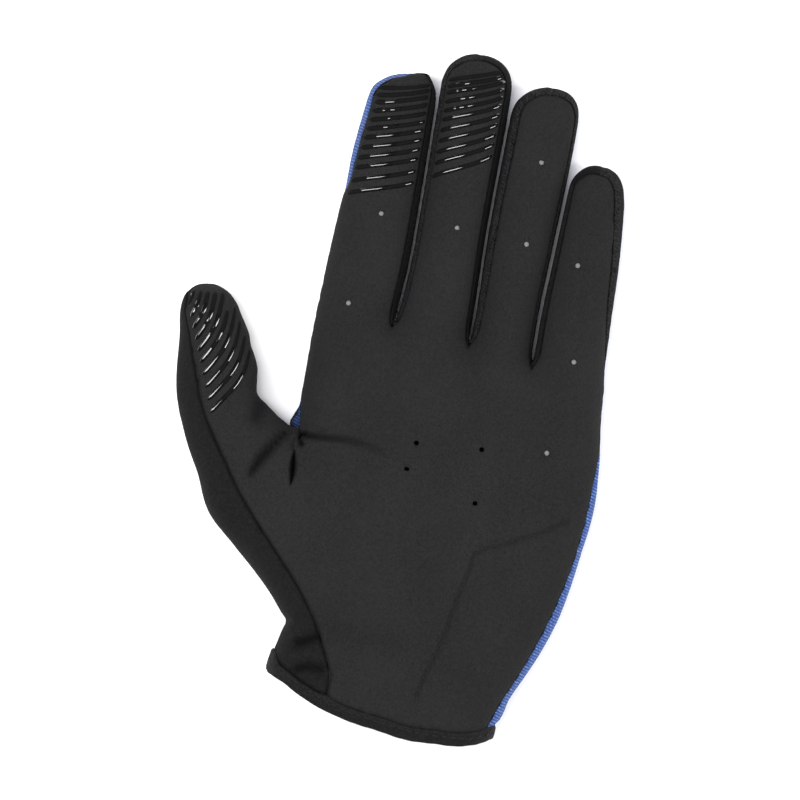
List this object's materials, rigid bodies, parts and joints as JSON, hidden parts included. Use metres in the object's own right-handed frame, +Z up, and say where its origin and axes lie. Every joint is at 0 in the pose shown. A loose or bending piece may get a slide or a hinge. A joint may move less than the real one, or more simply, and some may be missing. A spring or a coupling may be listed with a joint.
{
  "type": "cycling glove",
  "caption": "Full-finger cycling glove lying palm up, with a black suede palm, blue knit back, ribbed side strips, raised grip lines and a taped cuff.",
  "frame": {"origin": "middle of the box of the glove on the surface that it lies on", "axes": "+Y along the fingers, +X towards the little finger, +Z up out of the palm"},
  "size_m": [0.1456, 0.2274, 0.0274],
  "materials": {
    "palm_suede": "napped synthetic suede",
    "blue_knit": "ribbed knit",
    "black_knit": "fine stretch knit",
    "side_strip": "ribbed knit with overlocked seams",
    "binding_tape": "folded woven tape",
    "grip_print": "glossy silicone print"
  },
  "bodies": {
    "root": {"palm_panel": "palm_suede", "back_panel": "blue_knit", "thumb_gusset": "black_knit", "fourchette_index_middle": "side_strip", "fourchette_middle_ring": "side_strip", "fourchette_ring_little": "side_strip", "little_side_strip": "side_strip", "cuff_binding": "binding_tape", "index_grip_1": "grip_print", "index_grip_2": "grip_print", "index_grip_3": "grip_print", "index_grip_4": "grip_print", "index_grip_5": "grip_print", "index_grip_6": "grip_print", "index_grip_7": "grip_print", "index_grip_8": "grip_print", "index_grip_9": "grip_print", "index_grip_10": "grip_print", "index_grip_11": "grip_print", "index_grip_12": "grip_print", "middle_grip_1": "grip_print", "middle_grip_2": "grip_print", "middle_grip_3": "grip_print", "middle_grip_4": "grip_print", "middle_grip_5": "grip_print", "middle_grip_6": "grip_print", "middle_grip_7": "grip_print", "middle_grip_8": "grip_print", "middle_grip_9": "grip_print", "middle_grip_10": "grip_print", "middle_grip_11": "grip_print", "thumb_grip_1": "grip_print", "thumb_grip_2": "grip_print", "thumb_grip_3": "grip_print", "thumb_grip_4": "grip_print", "thumb_grip_5": "grip_print", "thumb_grip_6": "grip_print", "thumb_grip_7": "grip_print", "thumb_grip_8": "grip_print", "thumb_grip_9": "grip_print", "thumb_grip_10": "grip_print"}
  },
  "joints": []
}
